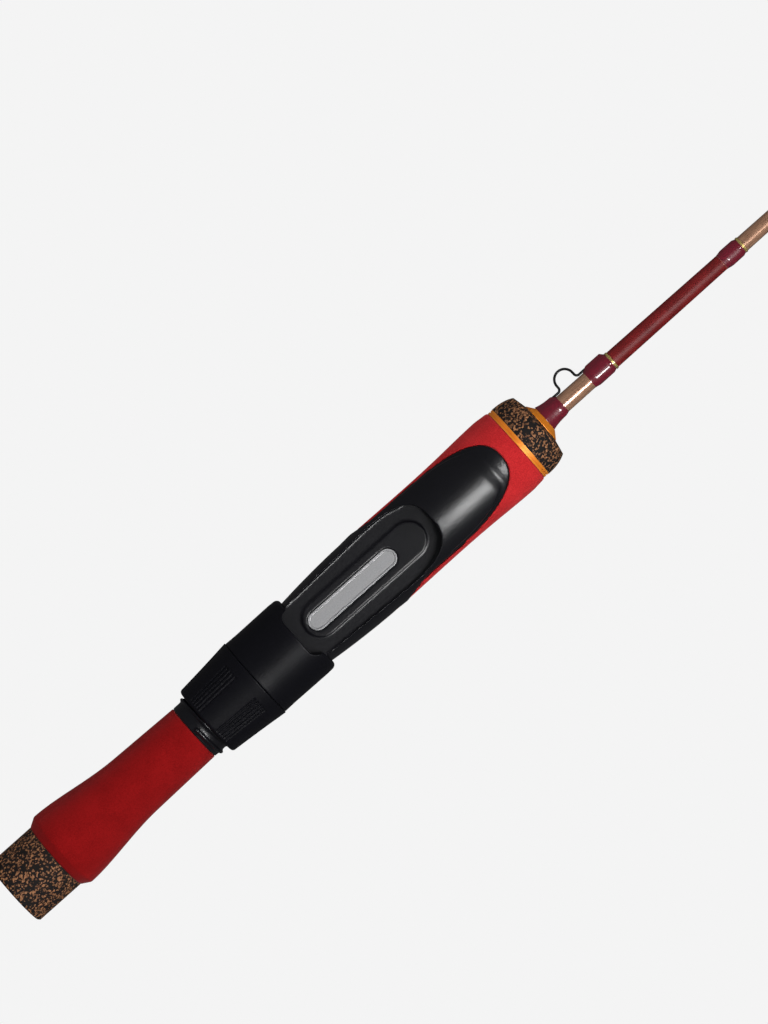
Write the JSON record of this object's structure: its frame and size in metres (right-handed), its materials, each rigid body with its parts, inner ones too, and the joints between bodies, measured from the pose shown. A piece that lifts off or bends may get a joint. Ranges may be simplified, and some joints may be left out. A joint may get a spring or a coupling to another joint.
{
  "type": "ice fishing rod",
  "caption": "Short ice fishing rod: tapered blank with line guides, foam and cork handle, and a spinning reel seat whose threaded nut drives a sliding hood.",
  "frame": {"origin": "centre of the flat butt face, on the rod's axis", "axes": "+X along the rod from the butt to the tip; +Z the side that carries the reel and the line guides; +Y the side of the hook keeper"},
  "size_m": [0.7041, 0.028, 0.0335],
  "materials": {
    "blank": "clear coated carbon tube, copper brown with a candy red section",
    "burl_cork": "sanded cork and rubber burl",
    "dark_red_foam": "sanded closed-cell EVA foam",
    "red_foam": "sanded closed-cell EVA foam",
    "seat_plastic": "satin black moulded nylon",
    "badge": "bead blasted plate",
    "arbor": "rigid foam",
    "anodised_orange": "orange anodised, turned",
    "black_wire": "black coated stainless wire",
    "burgundy_thread": "nylon thread under cured epoxy",
    "gold_thread": "metallic thread under cured epoxy",
    "guide_metal": "black plated stainless steel",
    "ring_ceramic": "polished dark ceramic"
  },
  "bodies": {
    "rod": {"blank": "blank", "butt_cork": "burl_cork", "rear_grip": "dark_red_foam", "reel_seat_body": "seat_plastic", "seat_badge": "badge", "seat_arbor_rear": "arbor", "seat_arbor_middle": "arbor", "seat_arbor_front": "arbor", "foregrip": "red_foam", "trim_ring": "anodised_orange", "fore_cork": "burl_cork", "winding_check": "anodised_orange", "hook_keeper": "black_wire", "keeper_wrap_rear": "burgundy_thread", "keeper_wrap_front": "burgundy_thread", "keeper_trim": "gold_thread", "far_wrap": "burgundy_thread", "far_trim": "gold_thread", "guide_frame_1": "guide_metal", "guide_ring_1": "ring_ceramic", "guide_wrap_1": "burgundy_thread", "guide_trim_1": "gold_thread", "guide_frame_2": "guide_metal", "guide_ring_2": "ring_ceramic", "guide_wrap_2": "burgundy_thread", "guide_trim_2": "gold_thread", "guide_frame_3": "guide_metal", "guide_ring_3": "ring_ceramic", "guide_wrap_3": "burgundy_thread", "guide_trim_3": "gold_thread", "guide_frame_4": "guide_metal", "guide_ring_4": "ring_ceramic", "guide_wrap_4": "burgundy_thread", "guide_trim_4": "gold_thread", "guide_frame_5": "guide_metal", "guide_ring_5": "ring_ceramic", "guide_wrap_5": "burgundy_thread", "guide_trim_5": "gold_thread", "tip_top": "guide_metal", "tip_ring": "ring_ceramic", "tip_wrap": "burgundy_thread"},
    "hood": {"sliding_hood": "seat_plastic"},
    "nut": {"hood_nut": "seat_plastic"}
  },
  "joints": [
    {"name": "hood_slide", "type": "slide", "parent": "rod", "child": "hood", "axis": [1, 0, 0], "range_m": [-0.0044, 0.007]},
    {"name": "nut_spin", "type": "hinge", "parent": "hood", "child": "nut", "pos_m": [0.0879, 0, 0], "axis": [1, 0, 0], "range_deg": [-528, 840]}
  ],
  "couplings": [
    {"joint": "hood_slide", "follows": "nut_spin", "m_per_rad": 0.00047746}
  ]
}
